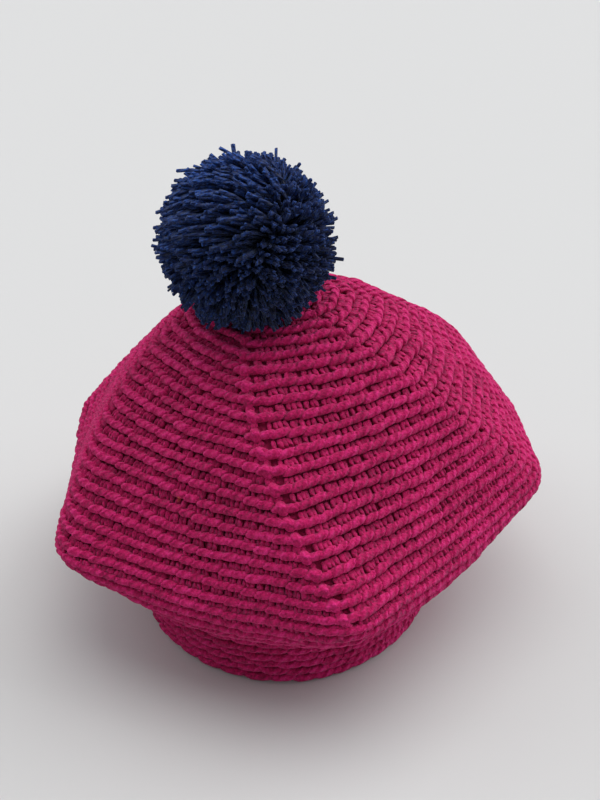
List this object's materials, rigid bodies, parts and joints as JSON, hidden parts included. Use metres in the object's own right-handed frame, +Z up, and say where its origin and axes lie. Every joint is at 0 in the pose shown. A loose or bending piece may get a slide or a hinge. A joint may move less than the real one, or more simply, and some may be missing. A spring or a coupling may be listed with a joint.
{
  "type": "crocheted tam hat with a pompom",
  "caption": "Crocheted hexagonal tam in raspberry yarn, with ribs in rounds, soft fold lines, a snug headband and a navy yarn pompom on top.",
  "frame": {"origin": "on the surface that the hat rests on, under the middle of the hat's outline", "axes": "+Z up out of the top of the crown, -Y towards the side with the front fold line, +X to the right seen from there"},
  "size_m": [0.2712, 0.281, 0.2606],
  "materials": {
    "raspberry_yarn": "soft matte crocheted wool blend yarn",
    "navy_yarn": "soft matte cut yarn"
  },
  "bodies": {
    "root": {"crown": "raspberry_yarn", "headband": "raspberry_yarn", "pompom": "navy_yarn", "pompom_tie": "navy_yarn"}
  },
  "joints": []
}
